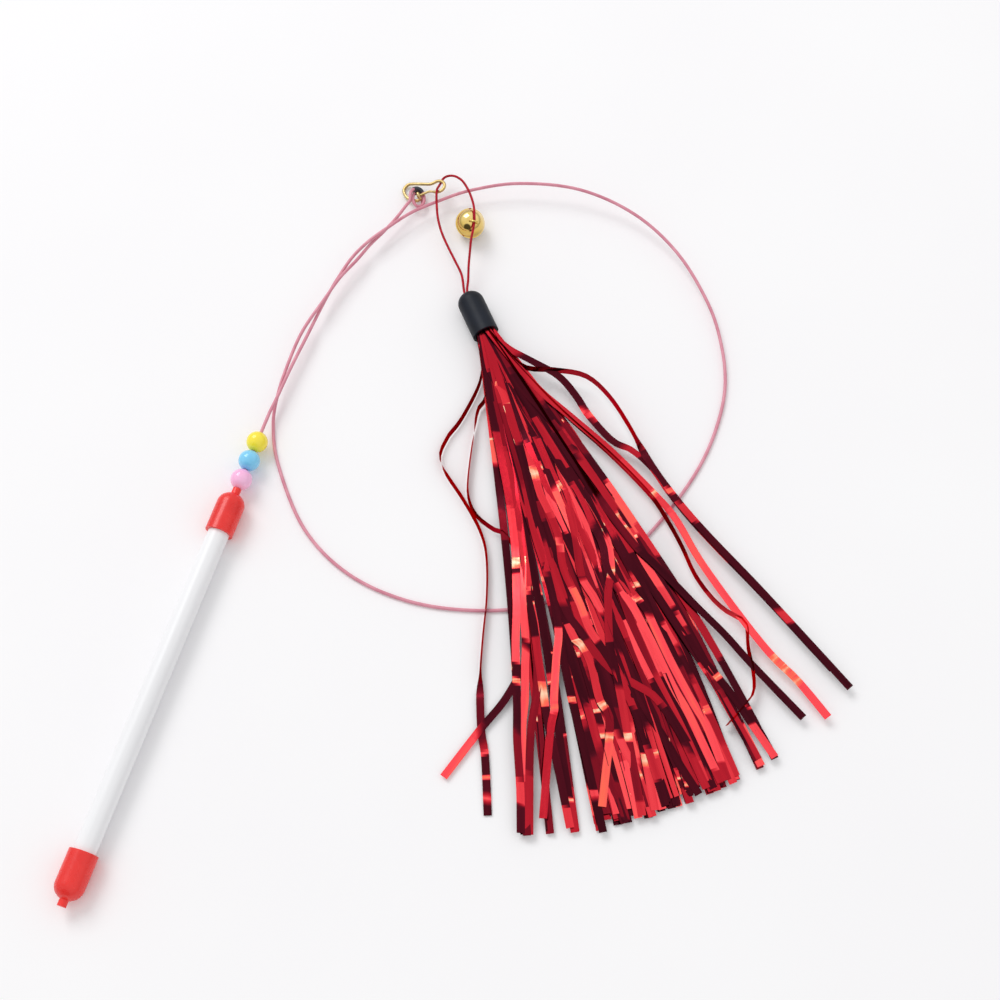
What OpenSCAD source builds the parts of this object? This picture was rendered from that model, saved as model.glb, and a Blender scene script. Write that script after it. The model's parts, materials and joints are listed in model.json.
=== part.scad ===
// Cat teaser wand: a capped tube handle, a coated wire lead that carries three beads
// and ends in a crimped eye, and a foil tassel with a bell that hangs from a wire snap.
// Sizes are in millimetres. The handle lies along +Y, +Z is up, and the origin is on
// the handle's axis at the rim of the butt cap. Everything lies on one flat surface.

/* [Handle] */
// Length of bare tube between the rims of the two caps
grip_len = 151; // [80:1:300]
// Outer diameter of the plastic tube
tube_od = 9.8; // [8:0.1:12]
// Wall of the plastic tube
tube_wall = 0.9; // [0.6:0.1:1.4]
// Depth to which each cap grips the tube
cap_grip = 14.4; // [10:0.2:20]
// Wall of the soft caps
cap_wall = 1.5; // [1:0.1:2]
// Rise of a cap's rounded end beyond its straight part
cap_dome = 6; // [4:0.5:8]
// Diameter of the moulding nub on a cap's tip
nub_d = 4; // [3:0.1:5]
// Length of the moulding nub
nub_len = 2.6; // [1.5:0.1:4]

/* [Wire anchor] */
// Length of the plug that holds the wire inside the tube
plug_len = 14; // [8:1:24]
// Length of the crimped stop behind the plug
stop_len = 6; // [3:0.5:10]
// Diameter of the crimped stop
stop_d = 3.6; // [2.8:0.1:5]

/* [Beads] */
// Diameter of each bead
bead_d = 10; // [8:0.5:12]
// Diameter of the hole through each bead
bead_bore = 2.2; // [2.1:0.1:3]
// Straight run of wire past the last bead, where the beads can slide
bead_run = 10; // [9.5:0.5:12]

/* [Lead wire] */
// Diameter of the coated wire
wire_d = 1.6; // [1.2:0.1:1.7]
// Half width of the wire eye at its start, at the wire's centre
eye_half = 4.3; // [4.1:0.1:4.8]
// How much longer than wide the eye is, on each side of its middle
eye_stretch = 1.9; // [1.5:0.1:2.5]
// How far the eye's second turn lies inside its first on the left
eye_inset = 1.95; // [1.9:0.05:2.1]
// How far the eye climbs down in one turn
eye_pitch = 0.9; // [0.9:0.05:1.1]
// How much further the second turn lies below the first on the right
eye_drop = 0.6; // [0.55:0.05:0.7]
// Length of the crimped ferrule on the eye
ferrule_len = 4.2; // [3:0.1:4.4]
// Wall of the crimped ferrule
ferrule_wall = 0.3; // [0.25:0.05:0.4]

/* [Snap] */
// Length of the snap over the centres of its wire
snap_len = 22.6; // [22:0.1:23.5]
// Diameter of the snap's brass wire
snap_wire_d = 1.6; // [1.2:0.05:1.65]
// Diameter of the snap's sprung arm
arm_wire_d = 1.2; // [1:0.05:1.25]

/* [Tassel] */
// Bore of the tassel's cap
tassel_bore = 10.2; // [9.8:0.1:11]
// Wall of the tassel's cap
tassel_wall = 1.4; // [1:0.1:2]
// Length of the tassel's cap from mouth to tip
tassel_cap_len = 24.5; // [22:0.5:30]
// Rise of the rounded end of the tassel's cap
tassel_dome = 6; // [4:0.5:7]
// Diameter of the cord loop
cord_d = 1.2; // [0.8:0.1:1.3]
// Length of the foil strips outside the cap
strip_len = 243; // [200:1:280]
// Width of a foil strip
strip_w = 3.5; // [2:0.1:4]
// Thickness that stands for a foil strip
strip_t = 0.24; // [0.2:0.02:0.3]
// Strips in each of the six fans
strips_in_fan = 8; // [5:1:9]

/* [Bell] */
// Diameter of the bell
bell_d = 14; // [12:0.5:15]
// Wall of the bell
bell_wall = 0.6; // [0.4:0.1:0.8]
// Width of the crossed slots
bell_slot = 1.4; // [1:0.1:2]
// Diameter of the pellet inside the bell
pellet_d = 3.4; // [3:0.1:5]
// Diameter of the wire of the bell's staple
staple_wire_d = 1; // [0.8:0.1:1.1]

/* [Hidden] */
$fn = 48;

// Clearances
fit_gap = 0.05;
bead_gap = 0.1;
crimp_gap = 0.02;
tip_hole_gap = 0.2;
knot_gap = 1.4;
ride_gap = 0.5;
strip_gap = 0.15;
latch_gap = 0.4;
stray_gap = 0.35;
overrun = 1;

// Handle
tube_r = tube_od / 2;
tube_id_r = tube_r - tube_wall;
cap_bore_r = tube_r + fit_gap;
cap_r = cap_bore_r + cap_wall;
tube_len = grip_len + 2 * cap_grip;
tube_end_y = grip_len + cap_grip;
cap_tip_y = tube_end_y + cap_dome + nub_len;
ground_z = -cap_r;

// Wire anchor and beads
wire_r = wire_d / 2;
plug_y = tube_end_y - plug_len;
stop_y = plug_y - stop_len;
bead_pitch = bead_d + bead_gap;
bead_y = cap_tip_y + bead_gap + bead_d / 2;
shank_end_y = bead_y + 2 * bead_pitch + bead_d / 2 + bead_run;

// Free route of the lead from the end of its straight run, up to the neck of the eye.
// It leaves level, winds round its own return run, springs up over the far side of
// the loop, comes down on the right and lies on the surface along the bottom.
lead_route = [
    [0, 1, 0], [0.5, 10, 0], [1, 26, -0.2], [2.2, 46, -0.6], [3.4, 67, -1.2],
    [5.2, 80.5, -0.6], [8.2, 94, 0.2], [12.8, 104.3, 1], [18.3, 113.2, 1.3],
    [27.3, 127.1, 0.6], [37.9, 138.4, -0.3], [52, 149, 0.8], [74.4, 159.3, 2.2],
    [104.5, 164.5, 2.5], [134.5, 159.5, 0.9], [160.5, 145, -1.1], [182, 122.5, -2.9],
    [194, 102, -4.1], [201, 81.5, -5], [202.5, 60, -5.5], [200, 37.5, -5.6],
    [193, 13.5, -5.6], [182, -12, -5.6], [168.5, -32.5, -5.6], [147.5, -51.5, -5.6],
    [121, -62.5, -5.6], [91, -67, -5.6], [61, -62.5, -5.6], [34.5, -47.5, -5.6],
    [12, -21, -5.6], [2.6, -2.5, -4.8], [-0.2, 11, -2.3], [-1.2, 27, -1],
    [-0.6, 47, 0.2], [3.8, 67, 1.3], [6.6, 80.5, 1], [10.8, 93, 0.2],
    [14, 104.5, -0.8], [17.5, 113.6, -1.3], [21, 123, -1], [23.6, 132.2, -0.6]
];
lead_start = [0, shank_end_y, 0];
lead_sides = 8;

// Eye of the lead. It winds clockwise from its left side and slopes down to the right.
eye_turn = 20;
eye_slope = 25;
eye_sweep = 540;
eye_step = 15;
eye_sides = 6;
eye_across = [cos(eye_turn) * cos(eye_slope), sin(eye_turn) * cos(eye_slope), -sin(eye_slope)];
eye_along = [-sin(eye_turn), cos(eye_turn), 0];
eye_normal = cross(eye_across, eye_along);
eye_from_lead = [27.4, 138.1, -2];
eye_at = lead_start + eye_from_lead;
ferrule_angle = 95;
ferrule_steps = 6;
ferrule_sides = 16;
ferrule_r = wire_r + ferrule_wall;

// Snap, placed from the eye that it hangs in. Its left end rests on the surface.
snap_turn = 8.5;
snap_slope = 20;
snap_from_eye = [-9.4, 5, -3.45];
snap_at = eye_at + snap_from_eye;
snap_sides = 8;
latch_shares = [0.416, -0.195];
latch_turn = 23;
latch_r = (snap_wire_d + arm_wire_d) / 2 + latch_gap;
root_r = arm_wire_d / 2 * 1.2;
// Centre line of the snap as shares of its length, from the lobe's underside, round the
// lobe, along the straight leg and round the small eye
frame_shares = [
    [0.40, -0.29, -0.034], [0.33, -0.298, -0.029], [0.23, -0.276, -0.013], [0.13, -0.218, 0],
    [0.045, -0.115, 0], [0, 0, 0], [0.027, 0.09, 0], [0.1, 0.15, 0], [0.24, 0.15, 0],
    [0.44, 0.125, 0], [0.62, 0.105, 0], [0.70, 0.125, 0], [0.78, 0.163, 0], [0.875, 0.16, 0],
    [0.96, 0.103, 0], [0.995, 0.013, 0], [0.97, -0.075, 0], [0.895, -0.128, 0],
    [0.805, -0.128, 0], [0.748, -0.115, 0]
];
arm_shares = [[0.705, -0.107, 0], [0.64, -0.102, 0], [0.565, -0.125, 0], [0.49, -0.16, 0],
    [0.416, -0.195, 0], [0.37, -0.217, 0]];
hang_shares = [0.854, 0.018, 0];

// Cord loop from the left of the tassel's cap up through the snap's small eye, over
// the far side and back through the bell's staple, measured from the small eye
cord_route = [
    [27, -45.9, -1.2], [21.3, -39, -1.1], [14.6, -31.3, -0.9], [9.5, -24.8, -0.6],
    [5.3, -17.6, -0.2], [2.6, -11, 0.5], [1.1, -6.8, 1.2], [0.2, -3.2, 1.6], [0, 0, 0],
    [-0.1, 3.4, -1.8], [0.3, 6.4, -1.7], [2.2, 7.9, -0.8], [5.2, 8, 0.5], [8.4, 6.6, 1.9],
    [11.8, 4.2, 2.9], [16.6, -1.2, 3.8], [21.4, -9.2, 6], [23.8, -15.1, 7],
    [25, -19, 6.25], [25.7, -23.5, 5.4], [26.3, -28.4, 4.4], [27.4, -33.8, 2.6],
    [29, -40.9, 0.8], [31, -48, -0.6]
];
cord_sides = 8;
cord_r = cord_d / 2;
strand_half = 0.75;
staple_index = 18;

// Tassel
tassel_turn = -50;
tassel_bore_r = tassel_bore / 2;
tassel_r = tassel_bore_r + tassel_wall;
tassel_from_hang = [32.6, -55.3, 0];
tip_hole_r = strand_half + cord_r + tip_hole_gap;
band_wall = 0.35;
band_len = 4;
band_x = -13;
knot_len = 5;
knot_r = 3.1;
knot_x = band_x - knot_gap - knot_len;

// Tinsel. Ten levels share the mouth of the cap, and each keeps its own height, so that
// no strip passes through another.
levels = 10;
band_bore_r = tassel_bore_r - fit_gap - band_wall;
head_r = band_bore_r - fit_gap;
head_pitch = 2 * head_r / levels;
head_len = 5;
mouth_pitch = 0.95;
level_pitch = 1.5 * strip_t;
ride_h = wire_d + ride_gap;
settle_x = 60;
ride_end_x = 150;
mouth_width_share = 0.33;
widen_x = 40;
strip_rings = 13;
length_spread = 6;
// Sideways reach of the first and the last strip's tips in each fan, and the sideways
// bow of its last strip. The first strips are nearly straight.
fan_left = [-80, -70, -61, -53, -46, -40];
fan_right = [15, 20, 24, 28, 33, 38];
fan_bow = [22, 20, 18, 16, 14, 12];
left_bow = 4;
// Routes of the strips that stray from the fans, as shares of the strip length, and how
// far from the mouth each one turns from its edge onto its flat
left_stray_shares = [
    [[0.065, -0.035], [0.1, -0.06], [0.15, -0.115], [0.178, -0.156], [0.22, -0.185],
     [0.31, -0.174], [0.377, -0.169], [0.43, -0.177], [0.505, -0.207], [0.58, -0.246],
     [0.65, -0.28], [0.735, -0.313], [0.785, -0.326], [0.882, -0.361]],
    [[0.115, -0.046], [0.143, -0.076], [0.193, -0.106], [0.267, -0.147], [0.31, -0.164],
     [0.35, -0.164], [0.387, -0.146], [0.413, -0.127], [0.5, -0.125], [0.62, -0.165],
     [0.695, -0.243], [0.737, -0.317], [0.79, -0.407]]
];
left_stray_turns = [160, 140];
right_stray_shares = [
    [[0.06, 0.02], [0.105, 0.04], [0.13, 0.09], [0.164, 0.143], [0.22, 0.168],
     [0.293, 0.177], [0.364, 0.179], [0.436, 0.188], [0.538, 0.211], [0.706, 0.262],
     [0.923, 0.325]],
    [[0.072, 0.02], [0.157, 0.047], [0.22, 0.076], [0.268, 0.097], [0.333, 0.124],
     [0.438, 0.159], [0.505, 0.176], [0.594, 0.181], [0.7, 0.197], [0.805, 0.219],
     [0.876, 0.244], [0.956, 0.263]],
    [[0.06, 0.012], [0.2, 0.035], [0.4, 0.06], [0.517, 0.081], [0.567, 0.099],
     [0.625, 0.119], [0.683, 0.138], [0.747, 0.161], [0.816, 0.181], [0.94, 0.222]]
];
right_stray_turns = [60, 0, 100];
high_stray_shares = [
    [[0.048, 0.023], [0.097, 0.059], [0.144, 0.094], [0.195, 0.109], [0.243, 0.115],
     [0.31, 0.134], [0.344, 0.161], [0.394, 0.18], [0.45, 0.188], [0.538, 0.208],
     [0.706, 0.26], [0.88, 0.311]],
    [[0.07, 0.02], [0.214, 0.07], [0.333, 0.118], [0.438, 0.152], [0.491, 0.16],
     [0.558, 0.163], [0.621, 0.161], [0.674, 0.17], [0.708, 0.184], [0.741, 0.205],
     [0.786, 0.189], [0.828, 0.178], [0.864, 0.161], [0.881, 0.129], [0.9, 0.09]]
];
high_stray_turns = [0, 220];

// Bell
bell_r = bell_d / 2;
bell_bore_r = bell_r - bell_wall;
bell_lip = 0.4;
slot_reach = 55;
slot_hole_share = 0.9;
staple_half = 1.9;
staple_r = staple_wire_d / 2;
staple_turn = -42;
staple_tilt = 33;
staple_spin = -41;
staple_rise = 0.9;
staple_sink = 1.2;
staple_slack = 0.2;
staple_hole_h = bell_r + staple_rise;

function unit(v) = v / norm(v);
function mix(a, b, t) = a + (b - a) * t;
function ease(t) = let(c = min(1, max(0, t))) c * c * (3 - 2 * c);
// A repeatable number from 0 to 1 for each pair of whole numbers
function scatter(i, k) = let(v = abs(sin(127.1 * i + 311.7 * k + 74.7)) * 43.758) v - floor(v);

// Smooth curve through the points of a route, with some steps to each span
function curve_point(a, b, c, d, t) =
    0.5 * (2 * b + (c - a) * t + (2 * a - 5 * b + 4 * c - d) * t * t
    + (3 * b - a - 3 * c + d) * t * t * t);
function smooth(route, steps) = let(last = len(route) - 1) concat(
    [for (i = [0:last - 1], j = [0:steps - 1])
        curve_point(route[max(i - 1, 0)], route[i], route[i + 1],
            route[min(i + 2, last)], j / steps)],
    [route[last]]);
function heading(route, i) =
    unit(route[min(i + 1, len(route) - 1)] - route[max(i - 1, 0)]);

// Side vectors carried along a route without twisting
function carried(route, i, side) = i == len(route) ? [] :
    let(d = heading(route, i), s = unit(side - d * (side * d)))
    concat([s], carried(route, i + 1, s));
function skin_faces(rings, sides) = concat(
    [[for (k = [sides - 1:-1:0]) k]],
    [[for (k = [0:sides - 1]) (rings - 1) * sides + k]],
    [for (i = [0:rings - 2], k = [0:sides - 1]) let(n = (k + 1) % sides)
        each [[i * sides + k, (i + 1) * sides + n, (i + 1) * sides + k],
              [i * sides + k, i * sides + n, (i + 1) * sides + n]]]);

// Round tube swept along the points of a route
module tube(route, d, sides, side = [1, 0, 0]) {
    first = heading(route, 0);
    frames = carried(route, 0, unit(side - first * (side * first)));
    points = [for (i = [0:len(route) - 1]) let(s = frames[i], u = cross(s, heading(route, i)))
        for (k = [0:sides - 1]) let(a = 360 * (k + 0.5) / sides)
            route[i] + d / 2 * (cos(a) * s + sin(a) * u)];
    polyhedron(points, skin_faces(len(route), sides), convexity = 10);
}

module along_y() { rotate([-90, 0, 0]) children(); }
module in_frame(at, x, y, z) {
    multmatrix([[x[0], y[0], z[0], at[0]], [x[1], y[1], z[1], at[1]],
                [x[2], y[2], z[2], at[2]]]) children();
}

// Handle

module handle_tube() {
    color("white") translate([0, -cap_grip, 0]) along_y() difference() {
        cylinder(r = tube_r, h = tube_len);
        translate([0, 0, -overrun]) cylinder(r = tube_id_r, h = tube_len + 2 * overrun);
    }
}

// Half outline of a soft round-ended cap with its mouth at zero and an even wall
module cap_profile(outer_r, bore_r, grip, dome, tip_r, tip_len) {
    wall = outer_r - bore_r;
    difference() {
        union() {
            square([outer_r, grip]);
            translate([0, grip]) intersection() {
                oval_quarter(outer_r, dome);
                square([outer_r, dome]);
            }
            square([tip_r, grip + dome + tip_len]);
        }
        translate([0, -overrun]) square([bore_r, grip + overrun]);
        translate([0, grip]) oval_quarter(bore_r, dome - wall);
    }
}

// Quarter of an ellipse
module oval_quarter(across, up) {
    polygon(concat([[0, 0]], [for (a = [0:7.5:90]) [across * cos(a), up * sin(a)]]));
}

module handle_cap() {
    rotate_extrude() cap_profile(cap_r, cap_bore_r, cap_grip, cap_dome, nub_d / 2, nub_len);
}

module butt_cap() {
    color("tomato") rotate([90, 0, 0]) handle_cap();
}

module wire_end_cap() {
    color("tomato") translate([0, grip_len, 0]) along_y() difference() {
        handle_cap();
        cylinder(r = wire_r + fit_gap, h = cap_grip + cap_dome + nub_len + overrun);
    }
}

// Wire anchor

module wire_plug() {
    color("gainsboro") translate([0, plug_y, 0]) along_y() difference() {
        cylinder(r = tube_id_r - fit_gap, h = plug_len);
        translate([0, 0, -overrun]) cylinder(r = wire_r + fit_gap, h = plug_len + 2 * overrun);
    }
}

module wire_stop() {
    color("silver") translate([0, stop_y, 0]) along_y() difference() {
        cylinder(d = stop_d, h = stop_len);
        translate([0, 0, -overrun]) cylinder(r = wire_r + crimp_gap, h = stop_len + 2 * overrun);
    }
}

module wire_shank() {
    color("palevioletred") translate([0, stop_y, 0]) along_y()
        cylinder(r = wire_r, h = shank_end_y - stop_y);
}

// Beads

module bead(place) {
    translate([0, bead_y + place * bead_pitch, 0]) along_y() difference() {
        sphere(d = bead_d);
        translate([0, 0, -bead_d]) cylinder(d = bead_bore, h = 2 * bead_d);
    }
}
module bead_pink() { color("pink") bead(0); }
module bead_blue() { color("skyblue") bead(1); }
module bead_yellow() { color("gold") bead(2); }

// Lead wire and its eye

function eye_half_at(a) = eye_half - eye_inset * (1 - cos(a / 2)) / 2;
function eye_depth_at(a) = eye_pitch * a / 360 - eye_drop * sin(a / 2);
function eye_point(a) = eye_at - eye_half_at(a) * cos(a) * eye_across
    + (eye_half_at(a) + eye_stretch) * sin(a) * eye_along - eye_depth_at(a) * eye_normal;
eye_turns = [for (a = [0:eye_step:eye_sweep]) eye_point(a)];
eye_neck = eye_turns[0] - wire_d * eye_along;
eye_tail = eye_turns[len(eye_turns) - 1]
    + wire_d * unit(eye_point(eye_sweep) - eye_point(eye_sweep - 1));
eye_route = concat([eye_neck], eye_turns, [eye_tail]);
lead_path = concat([lead_start],
    smooth(concat([for (p = lead_route) lead_start + p], [eye_neck - wire_r * eye_along]), 2),
    [eye_neck]);

module lead_wire() { color("palevioletred") tube(lead_path, wire_d, lead_sides); }
module wire_eye() { color("palevioletred") tube(eye_route, wire_d, eye_sides, eye_across); }

half_turn = 180 / eye_step;
eye_gap = min([for (i = [0:len(eye_route) - 1 - half_turn])
    for (j = [i + half_turn:len(eye_route) - 1]) norm(eye_route[i] - eye_route[j])]) - wire_d;
echo("least gap of the wire eye to itself", eye_gap);

// Oval sleeve that is crimped over both turns and follows their curve
function ferrule_middle(a) = (eye_point(a) + eye_point(a + 360)) / 2;
module eye_ferrule() {
    spread = ferrule_len / norm(ferrule_middle(ferrule_angle + 0.5) - ferrule_middle(ferrule_angle - 0.5));
    angles = [for (i = [0:ferrule_steps]) ferrule_angle + spread * (i / ferrule_steps - 0.5)];
    points = [for (a = angles)
        let(one = eye_point(a), two = eye_point(a + 360),
            ahead = unit(ferrule_middle(a + 1) - ferrule_middle(a - 1)),
            over = unit(two - one - ahead * ((two - one) * ahead)), up = cross(over, ahead))
        for (k = [0:ferrule_sides - 1]) let(b = 360 * (k + 0.5) / ferrule_sides)
            (cos(b) > 0 ? two : one) + ferrule_r * (cos(b) * over + sin(b) * up)];
    color("dimgray") difference() {
        polyhedron(points, skin_faces(len(angles), ferrule_sides), convexity = 10);
        tube(eye_route, wire_d + 2 * crimp_gap, eye_sides, eye_across);
    }
}

// Snap

module at_snap() { translate(snap_at) rotate([0, -snap_slope, snap_turn]) children(); }
latch_at = [latch_shares[0] * snap_len, latch_shares[1] * snap_len, 0];
latch_out = [sin(latch_turn), -cos(latch_turn), 0];
// The wire's end curls up round the outside of the arm as the catch
catch_curl = [for (b = [100:-30:-20]) latch_at + latch_r * (cos(b) * latch_out + sin(b) * [0, 0, 1])];

module snap_frame() {
    color("darkkhaki") at_snap()
        tube(smooth(concat(catch_curl, snap_len * frame_shares), 2), snap_wire_d, snap_sides);
}

// Sprung arm with a ball root, held behind the catch
module snap_arm() {
    route = smooth(snap_len * arm_shares, 3);
    color("darkkhaki") at_snap() {
        tube(route, arm_wire_d, snap_sides);
        translate(route[0]) sphere(r = root_r, $fn = 24);
    }
}

// Tassel: in its own frame the cap's mouth is at zero and the strips run along +X

hang_offset = snap_len * hang_shares;
hang_at = snap_at + [
    hang_offset[0] * cos(snap_slope) * cos(snap_turn) - hang_offset[1] * sin(snap_turn),
    hang_offset[0] * cos(snap_slope) * sin(snap_turn) + hang_offset[1] * cos(snap_turn),
    hang_offset[0] * sin(snap_slope)
];
tip_at = [hang_at[0] + tassel_from_hang[0], hang_at[1] + tassel_from_hang[1], ground_z + tassel_r];
tassel_ahead = [cos(tassel_turn), sin(tassel_turn), 0];
tassel_left = [-sin(tassel_turn), cos(tassel_turn), 0];
mouth_at = tip_at + tassel_cap_len * tassel_ahead;
function tassel_point(x, y) = mouth_at + x * tassel_ahead + y * tassel_left;
module at_tassel() { translate(mouth_at) rotate([0, 0, tassel_turn]) children(); }

module tassel_cap() {
    color("darkslategray") at_tassel() rotate([0, -90, 0]) difference() {
        rotate_extrude() cap_profile(tassel_r, tassel_bore_r, tassel_cap_len - tassel_dome,
            tassel_dome, cord_r, 0);
        cylinder(r = tip_hole_r, h = tassel_cap_len + overrun);
    }
}

cord_exit_x = -tassel_cap_len - cord_d;
cord_path = concat([tassel_point(knot_x, -strand_half)],
    smooth(concat(
        [tassel_point(knot_x - cord_d, -strand_half), tassel_point(cord_exit_x, -strand_half)],
        [for (p = cord_route) hang_at + p],
        [tassel_point(cord_exit_x, strand_half), tassel_point(knot_x - cord_d, strand_half)]), 2),
    [tassel_point(knot_x, strand_half)]);

module cord_loop() { color("firebrick") tube(cord_path, cord_d, cord_sides); }

// Knot of three wraps round a core, behind the bound heads of the strips
module cord_knot() {
    wraps = 3;
    wrap_r = knot_len / wraps / 2;
    color("firebrick") at_tassel() translate([knot_x, 0, 0]) rotate([0, 90, 0]) {
        cylinder(r = knot_r - wrap_r, h = knot_len);
        for (i = [0:wraps - 1]) translate([0, 0, (2 * i + 1) * wrap_r])
            rotate_extrude() translate([knot_r - wrap_r, 0]) circle(r = wrap_r, $fn = 20);
    }
}

module tinsel_band() {
    color("silver") at_tassel() translate([band_x, 0, 0]) rotate([0, 90, 0]) difference() {
        cylinder(r = band_bore_r + band_wall, h = band_len);
        translate([0, 0, -overrun]) cylinder(r = band_bore_r, h = band_len + 2 * overrun);
    }
}

// Height of a strip's middle above the surface, for a level and a distance from the mouth.
// The strays keep further from the fans than the fans do from each other.
function strip_height(level, x) =
    let(mouth = tassel_r + (level - (levels - 1) / 2) * mouth_pitch,
        lift = level * level_pitch + stray_gap * (level < 2 ? 0 : level < levels - 2 ? 1 : 2),
        riding = ride_h + lift,
        tip = strip_t + lift)
    mix(mix(mouth, riding, ease(x / settle_x)), tip,
        ease((x - ride_end_x) / (strip_len - ride_end_x)));
// Width seen from above of a strip that turns onto its flat at some distance
function opened_width(x, turn) =
    strip_w * mix(mouth_width_share, 1, ease((x - turn) / widen_x));

// Flat strip swept through points that lie x from the mouth and y to the side, with a
// width for each
module strip(level, line, widths) {
    points = [for (i = [0:len(line) - 1])
        let(p = line[i], d = heading(line, i),
            side = [-d[1], d[0]] * widths[i] / 2,
            h = strip_height(level, p[0]) - tassel_r)
        each [[p[0] + side[0], p[1] + side[1], h + strip_t / 2],
              [p[0] + side[0], p[1] + side[1], h - strip_t / 2],
              [p[0] - side[0], p[1] - side[1], h - strip_t / 2],
              [p[0] - side[0], p[1] - side[1], h + strip_t / 2]]];
    polyhedron(points, skin_faces(len(line), 4), convexity = 10);
}

// The heads of one level are pressed into a slice of the bound bundle
module head_slice(level) {
    low = (level - levels / 2) * head_pitch;
    translate([band_x - fit_gap, 0, 0]) rotate([0, 90, 0]) intersection() {
        cylinder(r = head_r, h = head_len);
        translate([-low - head_pitch + fit_gap, -head_r, -overrun])
            cube([head_pitch - 2 * fit_gap, 2 * head_r, head_len + 2 * overrun]);
    }
}

// How far to the side a strip may start inside the round mouth at its level
function mouth_half(level) =
    let(h = (level - (levels - 1) / 2) * mouth_pitch, w = strip_w * mouth_width_share)
    sqrt(max(head_r * head_r - pow(abs(h) + strip_t, 2), 0)) - w / 2;
head_end = band_x + head_len - 3 * fit_gap;

// A fan of strips on one level, none of which touches its neighbour
module fan(number) {
    level = number + 1;
    half = mouth_half(level);
    left = fan_left[number - 1];
    right = fan_right[number - 1];
    color("firebrick") at_tassel() {
        head_slice(level);
        for (i = [0:strips_in_fan - 1]) {
            u = (i + 0.5) / strips_in_fan;
            start_y = mix(-half, half, u);
            tip_y = mix(left, right, u);
            reach = strip_len - length_spread * scatter(i, number);
            tip_x = sqrt(reach * reach - tip_y * tip_y);
            bow = mix(left_bow, fan_bow[number - 1], u);
            shares = [for (j = [0:strip_rings - 1]) j / (strip_rings - 1)];
            line = concat([[head_end - 2 * fit_gap, start_y]],
                [for (t = shares) [tip_x * t, mix(start_y, tip_y, t) + bow * sin(180 * t)]]);
            pitches = [for (t = concat([0], shares)) (mix(2 * half, right - left, t)
                + (fan_bow[number - 1] - left_bow) * sin(180 * t)) / strips_in_fan];
            widths = [for (k = [0:len(line) - 1])
                min(strip_w, pitches[k] * heading(line, k)[0] - strip_gap)];
            strip(level, line, widths);
        }
    }
}
module tinsel_fan_1() { fan(1); }
module tinsel_fan_2() { fan(2); }
module tinsel_fan_3() { fan(3); }
module tinsel_fan_4() { fan(4); }
module tinsel_fan_5() { fan(5); }
module tinsel_fan_6() { fan(6); }

module stray(level, start_y, shares, turn) {
    line = concat([[head_end - 2 * fit_gap, start_y]],
        smooth(concat([[0, start_y]], strip_len * shares), 2));
    head_slice(level);
    strip(level, line, [for (p = line) opened_width(p[0], turn)]);
}
module tinsel_left_strays() {
    color("maroon") at_tassel() for (i = [0, 1])
        stray(i, -mouth_half(i), left_stray_shares[i], left_stray_turns[i]);
}
module tinsel_right_strays() {
    top = levels - 1;
    next = levels - 2;
    color("indianred") at_tassel() {
        for (i = [0:2]) stray(top, mouth_half(top), right_stray_shares[i], right_stray_turns[i]);
        for (i = [0, 1]) stray(next, mouth_half(next), high_stray_shares[i], high_stray_turns[i]);
    }
}

// Bell: in its own frame the ball's centre is at zero and the staple stands on +Z

staple_at = hang_at + cord_route[staple_index];
staple_up = [sin(staple_tilt) * cos(staple_turn), sin(staple_tilt) * sin(staple_turn),
    cos(staple_tilt)];
bell_at = staple_at - (staple_hole_h + staple_slack) * staple_up;
module at_bell() {
    translate(bell_at) rotate([0, 0, staple_turn]) rotate([0, staple_tilt, 0])
        rotate([0, 0, staple_spin]) children();
}

// Half of the ball, open at the rim, with a lip that meets the other half
module bell_half() {
    rotate_extrude() {
        difference() {
            intersection() {
                circle(r = bell_r);
                square([bell_r, bell_r]);
            }
            circle(r = bell_bore_r);
        }
        translate([bell_bore_r, 0]) square([bell_wall + bell_lip, bell_lip]);
    }
}

module bell_crown() {
    color("gold") at_bell() difference() {
        bell_half();
        for (s = [-1, 1]) translate([0, s * staple_half, 0])
            cylinder(r = staple_r + fit_gap, h = bell_d);
    }
}

// The lower half is cut by two crossed slots that end in round holes
module bell_skirt() {
    hole_r = bell_slot * slot_hole_share;
    color("gold") at_bell() mirror([0, 0, 1]) difference() {
        bell_half();
        for (turn = [0, 90]) rotate([0, 0, turn]) {
            intersection() {
                translate([-bell_d, -bell_slot / 2, 0]) cube([2 * bell_d, bell_slot, bell_d]);
                translate([0, 0, bell_r * cos(slot_reach)])
                    translate([-bell_d, -bell_d, 0]) cube(2 * bell_d);
            }
            for (s = [-1, 1]) rotate([0, s * slot_reach, 0])
                cylinder(r = hole_r, h = bell_d);
        }
    }
}

// Staple that the cord runs through, with both legs let into the crown
module bell_staple() {
    leg_h = staple_rise + bell_wall + staple_sink;
    color("gold") at_bell() translate([0, 0, staple_hole_h]) {
        rotate([0, 90, 0]) rotate([0, 0, 90]) rotate_extrude(angle = 180)
            translate([staple_half, 0]) circle(r = staple_r, $fn = 24);
        for (s = [-1, 1]) translate([0, s * staple_half, -leg_h]) cylinder(r = staple_r, h = leg_h);
    }
}

module bell_pellet() {
    color("silver") translate(bell_at - [0, 0, bell_bore_r - pellet_d / 2 - fit_gap])
        sphere(d = pellet_d);
}

handle_tube();
butt_cap();
wire_end_cap();
wire_plug();
wire_stop();
wire_shank();
lead_wire();
wire_eye();
eye_ferrule();
bead_pink();
bead_blue();
bead_yellow();
snap_frame();
snap_arm();
tassel_cap();
cord_loop();
cord_knot();
tinsel_band();
tinsel_left_strays();
tinsel_fan_1();
tinsel_fan_2();
tinsel_fan_3();
tinsel_fan_4();
tinsel_fan_5();
tinsel_fan_6();
tinsel_right_strays();
bell_crown();
bell_skirt();
bell_staple();
bell_pellet();
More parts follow.
